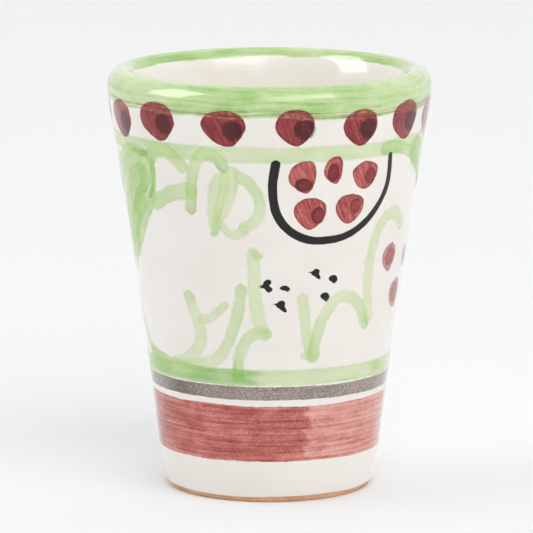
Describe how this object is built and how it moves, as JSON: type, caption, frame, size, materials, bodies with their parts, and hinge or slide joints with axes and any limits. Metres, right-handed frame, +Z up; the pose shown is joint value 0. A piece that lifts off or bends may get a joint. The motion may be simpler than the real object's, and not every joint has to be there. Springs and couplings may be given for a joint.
{
  "type": "shot cup",
  "caption": "Small tapered ceramic shot cup with a rounded lip and an open well, white-glazed and hand-painted with bands, a row of dots and a folk motif; stands on a flat foot.",
  "frame": {"origin": "centre of the foot, on the surface the cup stands on", "axes": "+Z up along the cup's axis of rotation, out of its mouth; -Y is the front, where the painted fruit and grass face; +X to the front's right"},
  "size_m": [0.0502, 0.0502, 0.0651],
  "materials": {
    "bare_clay": "bare fired terracotta, fine matt grain",
    "white_glaze": "glossy warm white tin glaze",
    "green_paint": "leaf green brushed in thin washes under the gloss",
    "pale_green_paint": "the same green thinned to a pale wash",
    "red_paint": "brick to wine red, brushed, glossy",
    "dark_red_paint": "dark wine red second dab, glossy",
    "rose_paint": "rose red with turned brush streaks, glossy",
    "grey_paint": "speckled warm grey, glossy",
    "black_paint": "dense black, glossy"
  },
  "bodies": {
    "root": {"clay_body": "bare_clay", "white_glaze": "white_glaze", "rim_band": "green_paint", "dot_row": "red_paint", "dot_dabs": "dark_red_paint", "shoulder_band": "pale_green_paint", "leaf_cluster": "green_paint", "sprigs": "pale_green_paint", "fruit_outline": "black_paint", "fruit_seeds": "red_paint", "seed_dabs": "dark_red_paint", "berries": "rose_paint", "specks": "black_paint", "grass_strokes": "pale_green_paint", "ground_band": "green_paint", "grey_band": "grey_paint", "red_band": "rose_paint"}
  },
  "joints": []
}
